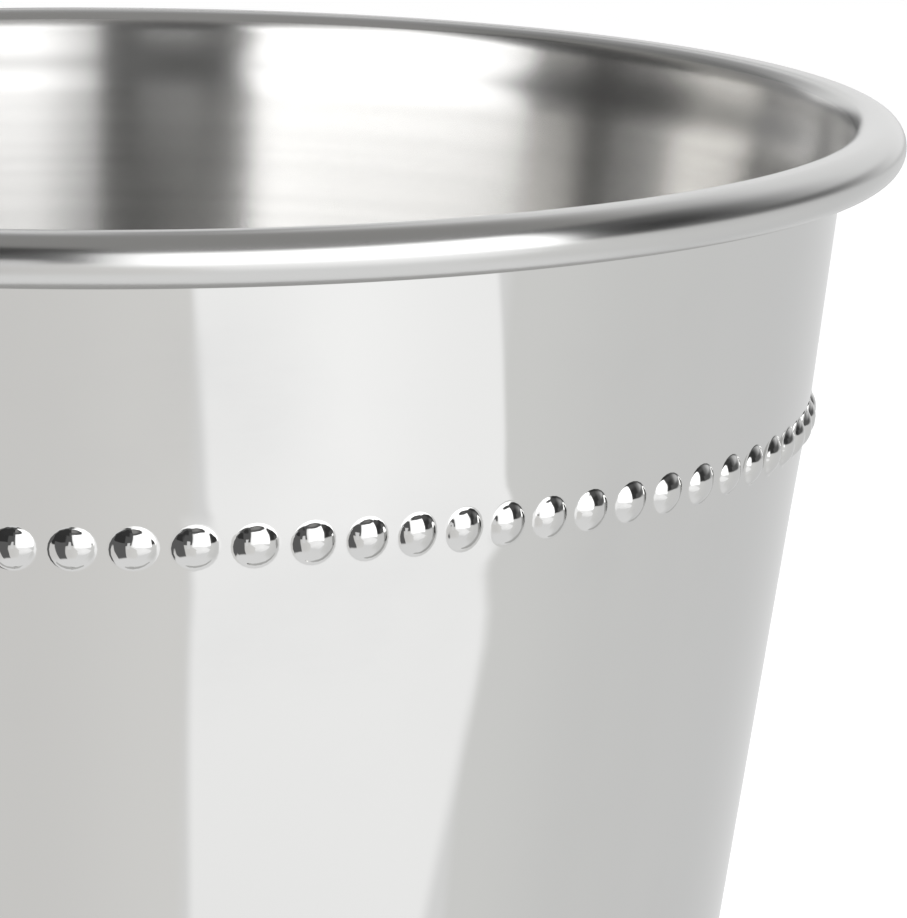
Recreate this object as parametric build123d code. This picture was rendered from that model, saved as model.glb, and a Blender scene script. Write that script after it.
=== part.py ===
"""Julep cup of polished sheet steel: wall with a beaded row and a wired rim, floor, seal and foot."""

import math
import os

from build123d import *
from build123d.topology import SkipClean

# Overall sizes, in millimetres
CUP_HEIGHT = 110.0
RIM_DIAMETER = 89.0

# Sheet of the wall, its two tapers and the rolled rim
SHEET = 0.5
ROLL_DIAMETER = 2.8
ROLL_FLAT = 0.4
UPPER_TAPER_DEG = 6.86
LOWER_TAPER_DEG = 8.46
NECK_OUT_RADIUS = 1.1
NECK_BACK_RADIUS = 1.42
NECK_TURN_DEG = 35.0
CURL_END_DEG = 135.0
WIRE_CLEARANCE = 0.1

# Row of beads pressed out of the wall
BEAD_COUNT = 87
BEAD_DIAMETER = 2.2
BEAD_HEIGHT = 0.46
BEAD_DROP = 16.4
FIRST_BEAD_DEG = -5.5
BEAD_WANDER_DEG = 0.55
BEAD_WANDER_WAVES = 8
BEAD_BAND = 1.8

# Floor pan, its solder seal and the foot
PAN_SHEET = 0.7
FLOOR_HEIGHT = 6.0
FLOOR_CROWN = 0.8
PAN_BEND_RADIUS = 1.5
SOLDER_HEIGHT = 1.8
SOLDER_FACE_RADIUS = 2.9
SOLDER_DEPTH_DEG = 60.0
SOLDER_GAP = 0.05
FOOT_LEDGE = 1.0
FOOT_HEIGHT = 4.6
FOOT_REACH = 2.3
FOOT_ROUND_RADIUS = 1.5
FOOT_ROUND_DEG = 75.0
FOOT_COLLAR = 0.35
FOOT_EDGE_RADIUS = 0.4

UPPER_TAPER = math.radians(UPPER_TAPER_DEG)
LOWER_TAPER = math.radians(LOWER_TAPER_DEG)
ROLL_RADIUS = ROLL_DIAMETER / 2
CURL_BORE = ROLL_RADIUS - SHEET
ROLL_OUTER = Vector(RIM_DIAMETER / 2 - ROLL_RADIUS, CUP_HEIGHT - ROLL_RADIUS)
ROLL_INNER = ROLL_OUTER - Vector(ROLL_FLAT, 0)
WALL_DEG = 180.0 - UPPER_TAPER_DEG
NECK_DEG = -UPPER_TAPER_DEG - NECK_TURN_DEG
BEAD_LEVEL = CUP_HEIGHT - BEAD_DROP
BAND_TOP = BEAD_LEVEL + BEAD_BAND
BAND_FOOT = BEAD_LEVEL - BEAD_BAND


def polar(centre, radius, angle_deg):
    """Point of the section at an angle round a centre."""
    angle = math.radians(angle_deg)
    return centre + Vector(radius * math.cos(angle), radius * math.sin(angle))


# The neck turns the sheet outward under the roll and back again, each bend with both faces round one centre
BACK_CENTRE = polar(ROLL_INNER, ROLL_RADIUS + NECK_BACK_RADIUS, WALL_DEG)
OUT_CENTRE = polar(BACK_CENTRE, NECK_BACK_RADIUS + SHEET + NECK_OUT_RADIUS, NECK_DEG)
NECK_FOOT_OUT = polar(OUT_CENTRE, NECK_OUT_RADIUS, WALL_DEG)
NECK_FOOT_IN = polar(OUT_CENTRE, NECK_OUT_RADIUS + SHEET, WALL_DEG)

# The wall turns from one taper to the other at the top of the beaded band, with the sheet as thick there
KINK_OUT = Vector(NECK_FOOT_OUT.X - (NECK_FOOT_OUT.Y - BAND_TOP) * math.tan(UPPER_TAPER), BAND_TOP)
KINK_SPREAD = SHEET / math.cos((LOWER_TAPER - UPPER_TAPER) / 2)
KINK_TILT = (UPPER_TAPER + LOWER_TAPER) / 2
KINK_IN = KINK_OUT - Vector(math.cos(KINK_TILT), -math.sin(KINK_TILT)) * KINK_SPREAD


def wall_out(level):
    """Outer radius of the wall at the beaded band and below."""
    return KINK_OUT.X - (KINK_OUT.Y - level) * math.tan(LOWER_TAPER)


def wall_in(level):
    """Inner radius of the wall at the beaded band and below."""
    return KINK_IN.X - (KINK_IN.Y - level) * math.tan(LOWER_TAPER)


def section(*edges):
    """Closed section of radius and height, stood upright beside the axis."""
    return Plane.XZ * make_face(list(edges))


def strip(*corners):
    """Closed section with straight sides."""
    ends = corners[1:] + corners[:1]
    return section(*[Line(start, end) for start, end in zip(corners, ends)])


def turned(*edges):
    """Solid turned round the cup's axis from a closed section."""
    return revolve(section(*edges), Axis.Z)


def band_foot():
    """The two corners of the wall sheet at the foot of the beaded band."""
    return Vector(wall_out(BAND_FOOT), BAND_FOOT), Vector(wall_in(BAND_FOOT), BAND_FOOT)


def lower_sleeve():
    """Wall sheet from the foot up to the beaded band."""
    band_out, band_in = band_foot()
    foot_out = Vector(wall_out(FOOT_LEDGE), FOOT_LEDGE)
    foot_in = Vector(wall_in(FOOT_LEDGE), FOOT_LEDGE)
    return revolve(strip(foot_out, band_out, band_in, foot_in), Axis.Z)


def roll_face(radius):
    """One face of the roll, a little wider than tall, from the neck over the top to the end of the curl."""
    return [
        CenterArc(ROLL_INNER, radius, WALL_DEG, 90.0 - WALL_DEG),
        Line(polar(ROLL_INNER, radius, 90.0), polar(ROLL_OUTER, radius, 90.0)),
        CenterArc(ROLL_OUTER, radius, 90.0, -180.0),
        Line(polar(ROLL_OUTER, radius, -90.0), polar(ROLL_INNER, radius, -90.0)),
        CenterArc(ROLL_INNER, radius, -90.0, 90.0 - CURL_END_DEG),
    ]


def upper_sleeve():
    """Wall sheet from the beaded band through the neck's two bends to the end of the roll."""
    return turned(
        Line(KINK_OUT, NECK_FOOT_OUT),
        CenterArc(OUT_CENTRE, NECK_OUT_RADIUS, WALL_DEG, -NECK_TURN_DEG),
        CenterArc(BACK_CENTRE, NECK_BACK_RADIUS + SHEET, NECK_DEG, NECK_TURN_DEG),
        *roll_face(CURL_BORE),
        Line(polar(ROLL_INNER, CURL_BORE, -CURL_END_DEG), polar(ROLL_INNER, ROLL_RADIUS, -CURL_END_DEG)),
        *roll_face(ROLL_RADIUS),
        CenterArc(BACK_CENTRE, NECK_BACK_RADIUS, NECK_DEG, NECK_TURN_DEG),
        CenterArc(OUT_CENTRE, NECK_OUT_RADIUS + SHEET, WALL_DEG, -NECK_TURN_DEG),
        Line(NECK_FOOT_IN, KINK_IN),
        Line(KINK_IN, KINK_OUT),
    )


def bead_angles():
    """Angles of the beads round the axis from +X; the spacing wanders a little, as pressed by hand."""
    angles = []
    for index in range(BEAD_COUNT):
        share = index / BEAD_COUNT
        wander = BEAD_WANDER_DEG * math.cos(2 * math.pi * BEAD_WANDER_WAVES * share)
        angles.append(FIRST_BEAD_DEG - 90.0 + 360.0 * share - wander)
    return angles


def bead_bays():
    """Pieces of the band, one for each bead, with a dome pressed outward and a dimple behind it."""
    dome = ((BEAD_DIAMETER / 2) ** 2 + BEAD_HEIGHT**2) / (2 * BEAD_HEIGHT)
    depth = dome - BEAD_HEIGHT
    cap_start = math.degrees(math.asin((depth - SHEET / 2) / dome))
    outward = Vector(math.cos(LOWER_TAPER), 0, -math.sin(LOWER_TAPER))
    centre = Vector(wall_out(BEAD_LEVEL), 0, BEAD_LEVEL) - outward * depth
    frame = Plane(origin=centre, x_dir=(0, 1, 0), z_dir=outward)
    cap = frame * Sphere(dome, arc_size1=cap_start, align=None)
    dimple = frame * Sphere(dome - SHEET)
    band_out, band_in = band_foot()
    band = strip(band_out, KINK_OUT, KINK_IN, band_in)
    angles = bead_angles()
    bays = []
    for index, angle in enumerate(angles):
        before = (angle - angles[index - 1]) % 360.0 / 2
        after = (angles[(index + 1) % BEAD_COUNT] - angle) % 360.0 / 2
        blank = Rot(0, 0, -before) * revolve(band, Axis.Z, before + after)
        bays.append(Rot(0, 0, angle) * (blank + cap - dimple))
    return bays


def make_cup_wall():
    """One sheet from the foot to the roll; its faces are left unmerged, because merging spoils the band."""
    with SkipClean():
        return lower_sleeve() + upper_sleeve() + bead_bays()


def make_rim_wire():
    """Round wire in the middle of the rolled edge."""
    middle = (ROLL_INNER + ROLL_OUTER) / 2
    return Pos(0, 0, middle.Y) * Torus(middle.X, CURL_BORE - WIRE_CLEARANCE)


def pan_edge(level):
    """Outer radius of the pan's flange, a solder gap inside the wall."""
    return wall_in(level) - SOLDER_GAP / math.cos(LOWER_TAPER)


# The flange follows the wall's taper and the floor is bent inward from its top
BEND_FLAT = PAN_BEND_RADIUS * (1 + math.sin(LOWER_TAPER)) / math.cos(LOWER_TAPER)
BEND_CENTRE = Vector(pan_edge(FLOOR_HEIGHT) - BEND_FLAT, FLOOR_HEIGHT - PAN_BEND_RADIUS)


def make_base_pan():
    """Floor disc with a slight upward crown and a flange turned down inside the wall."""
    bend_in = PAN_BEND_RADIUS - PAN_SHEET
    bend_turn = 90.0 + LOWER_TAPER_DEG
    flange_out = polar(BEND_CENTRE, PAN_BEND_RADIUS, -LOWER_TAPER_DEG)
    flange_in = polar(BEND_CENTRE, bend_in, -LOWER_TAPER_DEG)
    lip_out = Vector(pan_edge(FOOT_LEDGE), FOOT_LEDGE)
    lip_in = lip_out - Vector(PAN_SHEET / math.cos(LOWER_TAPER), 0)
    top_edge = Vector(BEND_CENTRE.X, FLOOR_HEIGHT)
    top_mid = Vector(0, FLOOR_HEIGHT + FLOOR_CROWN)
    under_edge = Vector(BEND_CENTRE.X, FLOOR_HEIGHT - PAN_SHEET)
    under_mid = Vector(0, FLOOR_HEIGHT + FLOOR_CROWN - PAN_SHEET)
    return turned(
        TangentArc(top_mid, top_edge, tangent=(1, 0)),
        CenterArc(BEND_CENTRE, PAN_BEND_RADIUS, 90.0, -bend_turn),
        Line(flange_out, lip_out),
        Line(lip_out, lip_in),
        Line(lip_in, flange_in),
        CenterArc(BEND_CENTRE, bend_in, -LOWER_TAPER_DEG, bend_turn),
        TangentArc(under_mid, under_edge, tangent=(1, 0)),
        Line(under_mid, top_mid),
    )


def make_floor_solder():
    """Fillet of solder that fills the groove between the pan's bend and the wall."""
    top = FLOOR_HEIGHT + SOLDER_HEIGHT
    gap = SOLDER_GAP / math.cos(LOWER_TAPER)
    bed = PAN_BEND_RADIUS + SOLDER_GAP
    deep_deg = 90.0 - SOLDER_DEPTH_DEG
    floor_end = polar(BEND_CENTRE, bed, 90.0)
    deep_in = polar(BEND_CENTRE, bed, deep_deg)
    deep_out = Vector(wall_in(deep_in.Y) - gap, deep_in.Y)
    wall_top = Vector(wall_in(top) - gap, top)
    return turned(
        CenterArc(BEND_CENTRE, bed, deep_deg, SOLDER_DEPTH_DEG),
        RadiusArc(floor_end, wall_top, -SOLDER_FACE_RADIUS),
        Line(wall_top, deep_out),
        Line(deep_out, deep_in),
    )


def make_foot_ring():
    """Round moulding with a collar, and a rebate that takes the lower edge of the wall and of the pan."""
    gap = SOLDER_GAP / math.cos(LOWER_TAPER)
    seat = FOOT_LEDGE - SOLDER_GAP
    inner = pan_edge(FOOT_LEDGE) - PAN_SHEET / math.cos(LOWER_TAPER)
    outer = wall_out(FOOT_LEDGE) + FOOT_REACH
    seat_in = Vector(inner, seat)
    seat_out = Vector(wall_out(seat) + gap, seat)
    top_in = Vector(wall_out(FOOT_HEIGHT) + gap, FOOT_HEIGHT)
    top_out = top_in + Vector(FOOT_COLLAR, 0)
    round_centre = Vector(outer - FOOT_ROUND_RADIUS, FOOT_ROUND_RADIUS)
    edge_centre = Vector(outer - FOOT_EDGE_RADIUS, FOOT_EDGE_RADIUS)
    return turned(
        Line(Vector(inner, 0), seat_in),
        Line(seat_in, seat_out),
        Line(seat_out, top_in),
        Line(top_in, top_out),
        Line(top_out, polar(round_centre, FOOT_ROUND_RADIUS, FOOT_ROUND_DEG)),
        CenterArc(round_centre, FOOT_ROUND_RADIUS, FOOT_ROUND_DEG, -FOOT_ROUND_DEG),
        Line(Vector(outer, FOOT_ROUND_RADIUS), Vector(outer, FOOT_EDGE_RADIUS)),
        CenterArc(edge_centre, FOOT_EDGE_RADIUS, 0.0, -90.0),
        Line(Vector(edge_centre.X, 0), Vector(inner, 0)),
    )


PIECES = {
    "cup_wall": make_cup_wall,
    "rim_wire": make_rim_wire,
    "base_pan": make_base_pan,
    "floor_solder": make_floor_solder,
    "foot_ring": make_foot_ring,
}

os.makedirs("parts", exist_ok=True)
for name, make in PIECES.items():
    export_step(make(), f"parts/{name}.step")
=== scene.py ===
"""Julep cup of polished steel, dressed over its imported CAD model: pieces, finishes, studio and camera."""

import logging
import math
from abc import ABC, abstractmethod
from dataclasses import dataclass, field
from enum import Enum, IntEnum
from functools import cached_property
from typing import Any, Mapping, Optional, Sequence, Union

import bmesh
import bpy
import numpy as np
from mathutils import Matrix, Vector


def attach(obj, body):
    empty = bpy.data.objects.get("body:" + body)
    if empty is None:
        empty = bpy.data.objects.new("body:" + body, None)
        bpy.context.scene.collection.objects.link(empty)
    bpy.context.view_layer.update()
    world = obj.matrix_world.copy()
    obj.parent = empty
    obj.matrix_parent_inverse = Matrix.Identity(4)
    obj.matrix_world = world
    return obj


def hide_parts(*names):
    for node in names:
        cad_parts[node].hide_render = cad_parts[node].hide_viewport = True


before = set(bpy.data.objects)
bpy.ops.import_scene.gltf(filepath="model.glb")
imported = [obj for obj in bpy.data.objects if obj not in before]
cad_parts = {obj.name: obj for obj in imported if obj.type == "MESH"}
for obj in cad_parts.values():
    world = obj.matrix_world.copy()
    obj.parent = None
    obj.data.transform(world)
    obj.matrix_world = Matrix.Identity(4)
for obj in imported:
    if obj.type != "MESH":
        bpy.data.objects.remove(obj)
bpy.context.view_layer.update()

MM: float = 0.001
MERGE: float = 1e-6

Point = tuple[float, float]
Colour = tuple[float, float, float]

LOG: logging.Logger = logging.getLogger("julep_cup")


class SteelPart(Enum):
    """Material slots of the pieces that stand for a CAD node."""

    POLISHED = "polished_steel"
    BRUSHED = "brushed_steel"
    SOLDER = "solder"


class WallFace(Enum):
    """Order of the finishes on the cup wall."""

    MIRROR = 0
    BRUSHED = 1
    RIM = 2
    BEAD = 3


class WallLeg(IntEnum):
    """Places of some legs in the cup wall's outline."""

    UPPER_OUT = 1
    NECK_OUT = 2
    CURL_OUT = 10
    ROLL_TOP_IN = 14
    UPPER_IN = 17
    LOWER_IN = 18
    FOOT = 19


def polar(centre: Point, radius: float, angle_deg: float) -> Point:
    """Point of a section at an angle round a centre.

    Args:
        centre: Radius and height of the centre, in millimetres.
        radius: Distance from the centre.
        angle_deg: Angle from the outward direction, turning up.

    Returns:
        Radius and height of the point.
    """
    angle = math.radians(angle_deg)
    return centre[0] + radius * math.cos(angle), centre[1] + radius * math.sin(angle)


@dataclass(frozen=True)
class Straight:
    """Straight leg of a section, in millimetres of radius and height."""

    start: Point
    end: Point
    steps: int = 1

    @property
    def length(self) -> float:
        """Length of the leg."""
        return math.dist(self.start, self.end)

    def at(self, run: float) -> tuple[float, float, float, float]:
        """Place on the leg.

        Args:
            run: Distance from the start of the leg.

        Returns:
            Radius, height and the two parts of the outward normal.
        """
        along_r = (self.end[0] - self.start[0]) / self.length
        along_z = (self.end[1] - self.start[1]) / self.length
        return self.start[0] + run * along_r, self.start[1] + run * along_z, along_z, -along_r

    def back(self) -> "Straight":
        """The same leg, walked the other way."""
        return Straight(self.end, self.start, self.steps)


@dataclass(frozen=True)
class Bend:
    """Round leg of a section, in millimetres and degrees; a negative turn goes clockwise."""

    centre: Point
    radius: float
    start_deg: float
    turn_deg: float
    steps: int = 8

    @property
    def length(self) -> float:
        """Length of the leg."""
        return self.radius * math.radians(abs(self.turn_deg))

    def at(self, run: float) -> tuple[float, float, float, float]:
        """Place on the leg.

        Args:
            run: Distance from the start of the leg.

        Returns:
            Radius, height and the two parts of the outward normal.
        """
        side = math.copysign(1.0, self.turn_deg)
        angle_deg = self.start_deg + side * math.degrees(run / self.radius)
        radius, height = polar(self.centre, self.radius, angle_deg)
        angle = math.radians(angle_deg)
        return radius, height, side * math.cos(angle), side * math.sin(angle)

    def back(self) -> "Bend":
        """The same leg, walked the other way."""
        return Bend(self.centre, self.radius, self.start_deg + self.turn_deg, -self.turn_deg, self.steps)


Leg = Union[Straight, Bend]


@dataclass(frozen=True)
class Outline:
    """Legs of a section in the order they are walked, with the metal on the left."""

    legs: tuple[Leg, ...]

    @cached_property
    def starts(self) -> list[float]:
        """Run at which each leg starts, with the whole length last.

        Returns:
            Runs, in the order the legs are walked.
        """
        runs = [0.0]
        for leg in self.legs:
            runs.append(runs[-1] + leg.length)
        return runs

    def at(self, run: float) -> tuple[float, float, float, float]:
        """Place on the outline.

        Args:
            run: Distance walked from the start.

        Returns:
            Radius, height and the two parts of the outward normal.
        """
        index = int(np.searchsorted(self.starts, run, side="right")) - 1
        index = min(max(index, 0), len(self.legs) - 1)
        return self.legs[index].at(run - self.starts[index])

    def rows(self) -> list[float]:
        """Runs at which the outline has a row of vertices.

        Returns:
            Runs, in order.
        """
        runs = [0.0]
        for leg, start in zip(self.legs, self.starts):
            runs += [start + leg.length * step / leg.steps for step in range(1, leg.steps + 1)]
        return runs

    def points(self) -> list[Point]:
        """Radius and height of every row."""
        return [self.at(run)[:2] for run in self.rows()]


@dataclass(frozen=True)
class CupSizes:
    """Sizes of the cup in millimetres and degrees, the same as the solids have."""

    cup_height: float = 110.0
    rim_diameter: float = 89.0
    sheet: float = 0.5
    roll_diameter: float = 2.8
    roll_flat: float = 0.4
    upper_taper_deg: float = 6.86
    lower_taper_deg: float = 8.46
    neck_out_radius: float = 1.1
    neck_back_radius: float = 1.42
    neck_turn_deg: float = 35.0
    curl_end_deg: float = 135.0
    bead_count: int = 87
    bead_diameter: float = 2.2
    bead_height: float = 0.46
    bead_drop: float = 16.4
    first_bead_deg: float = -5.5
    bead_wander_deg: float = 0.55
    bead_wander_waves: int = 8
    bead_band: float = 1.8
    pan_sheet: float = 0.7
    floor_height: float = 6.0
    floor_crown: float = 0.8
    pan_bend_radius: float = 1.5
    solder_height: float = 1.8
    solder_face_radius: float = 2.9
    solder_depth_deg: float = 60.0
    solder_gap: float = 0.05
    foot_ledge: float = 1.0
    foot_height: float = 4.6
    foot_reach: float = 2.3
    foot_round_radius: float = 1.5
    foot_round_deg: float = 75.0
    foot_collar: float = 0.35
    foot_edge_radius: float = 0.4

    @property
    def upper_slope(self) -> float:
        """Growth of the radius with height above the beads."""
        return math.tan(math.radians(self.upper_taper_deg))

    @property
    def lower_slope(self) -> float:
        """Growth of the radius with height below the beads."""
        return math.tan(math.radians(self.lower_taper_deg))

    @property
    def lower_lean(self) -> float:
        """Cosine of the lower taper."""
        return math.cos(math.radians(self.lower_taper_deg))

    @property
    def roll_radius(self) -> float:
        """Outer radius of the rolled edge."""
        return self.roll_diameter / 2

    @property
    def roll_outer(self) -> Point:
        """Centre of the outer round of the rolled edge."""
        return self.rim_diameter / 2 - self.roll_radius, self.cup_height - self.roll_radius

    @property
    def roll_inner(self) -> Point:
        """Centre of the inner round of the rolled edge."""
        return self.roll_outer[0] - self.roll_flat, self.roll_outer[1]

    @property
    def wall_deg(self) -> float:
        """Angle at which the wall's own direction meets a bend."""
        return 180.0 - self.upper_taper_deg

    @property
    def neck_deg(self) -> float:
        """Angle between the two bends of the neck."""
        return -self.upper_taper_deg - self.neck_turn_deg

    @property
    def back_centre(self) -> Point:
        """Centre of the neck's upper bend."""
        return polar(self.roll_inner, self.roll_radius + self.neck_back_radius, self.wall_deg)

    @property
    def out_centre(self) -> Point:
        """Centre of the neck's lower bend."""
        reach = self.neck_back_radius + self.sheet + self.neck_out_radius
        return polar(self.back_centre, reach, self.neck_deg)

    @property
    def bead_level(self) -> float:
        """Height of the bead row."""
        return self.cup_height - self.bead_drop

    @property
    def kink_out(self) -> Point:
        """Outer corner where the wall turns from one taper to the other.

        Returns:
            Radius and height.
        """
        foot = polar(self.out_centre, self.neck_out_radius, self.wall_deg)
        level = self.bead_level + self.bead_band
        return foot[0] - (foot[1] - level) * self.upper_slope, level

    @property
    def kink_in(self) -> Point:
        """Inner corner where the wall turns from one taper to the other.

        Returns:
            Radius and height.
        """
        half = math.radians(self.lower_taper_deg - self.upper_taper_deg) / 2
        tilt_deg = (self.upper_taper_deg + self.lower_taper_deg) / 2
        return polar(self.kink_out, self.sheet / math.cos(half), 180.0 - tilt_deg)

    def wall_out(self, level: float) -> float:
        """Outer radius of the wall at a height below the kink."""
        return self.kink_out[0] - (self.kink_out[1] - level) * self.lower_slope

    def wall_in(self, level: float) -> float:
        """Inner radius of the wall at a height below the kink."""
        return self.kink_in[0] - (self.kink_in[1] - level) * self.lower_slope

    def pan_edge(self, level: float) -> float:
        """Outer radius of the floor pan's flange."""
        return self.wall_in(level) - self.solder_gap / self.lower_lean

    @property
    def pan_bend_centre(self) -> Point:
        """Centre of the bend between the floor and its flange.

        Returns:
            Radius and height.
        """
        taper = math.radians(self.lower_taper_deg)
        flat = self.pan_bend_radius * (1 + math.sin(taper)) / math.cos(taper)
        return self.pan_edge(self.floor_height) - flat, self.floor_height - self.pan_bend_radius


class Flow:
    """Value running through a node tree; operators on it add Math nodes."""

    def __init__(self, graph: "Graph", socket: bpy.types.NodeSocket) -> None:
        """Wrap an output socket."""
        self.graph = graph
        self.socket = socket

    def other(self, output: str) -> "Flow":
        """Another output of the same node."""
        return Flow(self.graph, self.socket.node.outputs[output])

    def __add__(self, value: "Feed") -> "Flow":
        """Sum."""
        return self.graph.maths("ADD", self, value)

    def __radd__(self, value: "Feed") -> "Flow":
        """Sum with a number in front."""
        return self.graph.maths("ADD", value, self)

    def __sub__(self, value: "Feed") -> "Flow":
        """Difference."""
        return self.graph.maths("SUBTRACT", self, value)

    def __rsub__(self, value: "Feed") -> "Flow":
        """Difference with a number in front."""
        return self.graph.maths("SUBTRACT", value, self)

    def __mul__(self, value: "Feed") -> "Flow":
        """Product."""
        return self.graph.maths("MULTIPLY", self, value)

    def __rmul__(self, value: "Feed") -> "Flow":
        """Product with a number in front."""
        return self.graph.maths("MULTIPLY", value, self)

    def __pow__(self, value: "Feed") -> "Flow":
        """Power."""
        return self.graph.maths("POWER", self, value)

    def __neg__(self) -> "Flow":
        """Opposite."""
        return self.graph.maths("MULTIPLY", self, -1.0)

    def rise(self, low: "Feed", high: "Feed") -> "Flow":
        """Smooth step from 0 to 1.

        Args:
            low: Value at which the step starts.
            high: Value at which the step ends.

        Returns:
            The stepped value.
        """
        settings = {"interpolation_type": "SMOOTHSTEP"}
        inputs = {"Value": self, "From Min": low, "From Max": high}
        return self.graph.node("ShaderNodeMapRange", settings, inputs)


Feed = Union[Flow, float, Sequence[float]]


class Graph:
    """Node tree that is filled by expressions."""

    def __init__(self, tree: bpy.types.NodeTree) -> None:
        """Empty the tree."""
        self.tree = tree
        tree.nodes.clear()

    def node(
        self,
        kind: str,
        settings: Optional[Mapping[str, Any]] = None,
        inputs: Optional[Mapping[Union[int, str], Feed]] = None,
        output: Union[int, str] = 0,
    ) -> Flow:
        """Add a node.

        Args:
            kind: Type of the node.
            settings: Properties, set before the sockets.
            inputs: Values or links of the sockets, by name or number.
            output: Output that is handed on.

        Returns:
            The wrapped output, or the first input of a node that has none.
        """
        node = self.tree.nodes.new(kind)
        for name, value in (settings or {}).items():
            setattr(node, name, value)
        for key, value in (inputs or {}).items():
            if isinstance(value, Flow):
                self.tree.links.new(value.socket, node.inputs[key])
            else:
                node.inputs[key].default_value = value
        return Flow(self, node.outputs[output] if node.outputs else node.inputs[0])

    def maths(self, operation: str, first: Feed, second: Feed = 0.0) -> Flow:
        """Add a Math node."""
        return self.node("ShaderNodeMath", {"operation": operation}, {0: first, 1: second})

    def mix(self, share: Feed, first: Feed, second: Feed) -> Flow:
        """Blend two colours by the share of the second."""
        inputs = {0: share, 6: self.colour(first), 7: self.colour(second)}
        return self.node("ShaderNodeMix", {"data_type": "RGBA"}, inputs, 2)

    @staticmethod
    def colour(value: Feed) -> Feed:
        """Colour with its fourth number, or a link as it is."""
        return value if isinstance(value, Flow) else (*value, 1.0)

    def place(self, scale: Sequence[float] = (1.0, 1.0, 1.0)) -> Flow:
        """Object coordinates, stretched along the three axes."""
        coords = self.node("ShaderNodeTexCoord", {}, {}, "Object")
        return self.node("ShaderNodeMapping", {}, {"Vector": coords, "Scale": scale})

    def noise(self, vector: Flow, scale: float, detail: float, roughness: float = 0.5) -> Flow:
        """Noise from 0 to 1, with so many waves in each unit and finer layers of some strength."""
        inputs = {"Vector": vector, "Scale": scale, "Detail": detail, "Roughness": roughness}
        return self.node("ShaderNodeTexNoise", {}, inputs)

    def bump(self, height: Flow, strength: float, distance: float) -> Flow:
        """Normal of a surface that is uneven by a distance in metres."""
        inputs = {"Strength": strength, "Distance": distance, "Height": height}
        return self.node("ShaderNodeBump", {}, inputs)


def new_material(name: str) -> tuple[bpy.types.Material, Graph]:
    """Start a material.

    Args:
        name: Name of the material.

    Returns:
        The material and its empty node tree.
    """
    material = bpy.data.materials.new(name)
    material.use_nodes = True
    return material, Graph(material.node_tree)


@dataclass(frozen=True)
class Steel(ABC):
    """Bare metal, from bright to dull."""

    name: str
    bright: Colour
    dull: Colour
    gloss: float

    @abstractmethod
    def surface(self, graph: Graph) -> Mapping[str, Feed]:
        """What the metal's surface has besides being metal.

        Args:
            graph: Tree to add to.

        Returns:
            Values or links, by the name of the shader's socket.
        """

    def material(self) -> bpy.types.Material:
        """Build the material.

        Returns:
            The finished material.
        """
        material, graph = new_material(self.name)
        sockets = {"Metallic": 1.0, **self.surface(graph)}
        shader = graph.node("ShaderNodeBsdfPrincipled", {}, sockets)
        graph.node("ShaderNodeOutputMaterial", {}, {"Surface": shader})
        return material


@dataclass(frozen=True)
class MirrorSteel(Steel):
    """Polished steel with faint haze, tiny wipe marks and the slow ripple of spun sheet."""

    name: str = "mirror_steel"
    bright: Colour = (0.640, 0.640, 0.634)
    dull: Colour = (0.600, 0.600, 0.598)
    gloss: float = 0.028
    haze: float = 0.05
    ripple: float = 1.0e-5
    ripple_scale: float = 110.0
    ripple_stretch: float = 0.6
    cloud_scale: float = 70.0
    cloud_edges: Point = (0.48, 0.80)
    wipe_scale: float = 260.0
    wipe_stretch: float = 9.0
    wipe_share: float = 0.6

    def surface(self, graph: Graph) -> Mapping[str, Feed]:
        """Haze in clouds, broken by wipe marks, over a slow ripple.

        Args:
            graph: Tree to add to.

        Returns:
            Values or links, by the name of the shader's socket.
        """
        cloud = graph.noise(graph.place(), self.cloud_scale, detail=4.0)
        wipe = graph.noise(graph.place((1.0, 1.0, self.wipe_stretch)), self.wipe_scale, detail=3.0)
        slow = graph.noise(graph.place((1.0, 1.0, self.ripple_stretch)), self.ripple_scale, detail=1.0)
        haze = cloud.rise(*self.cloud_edges) * (1.0 - self.wipe_share + self.wipe_share * wipe)
        return {
            "Base Color": graph.mix(haze, self.bright, self.dull),
            "Roughness": self.gloss + haze * self.haze,
            "Normal": graph.bump(slow, 1.0, self.ripple),
        }


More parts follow.
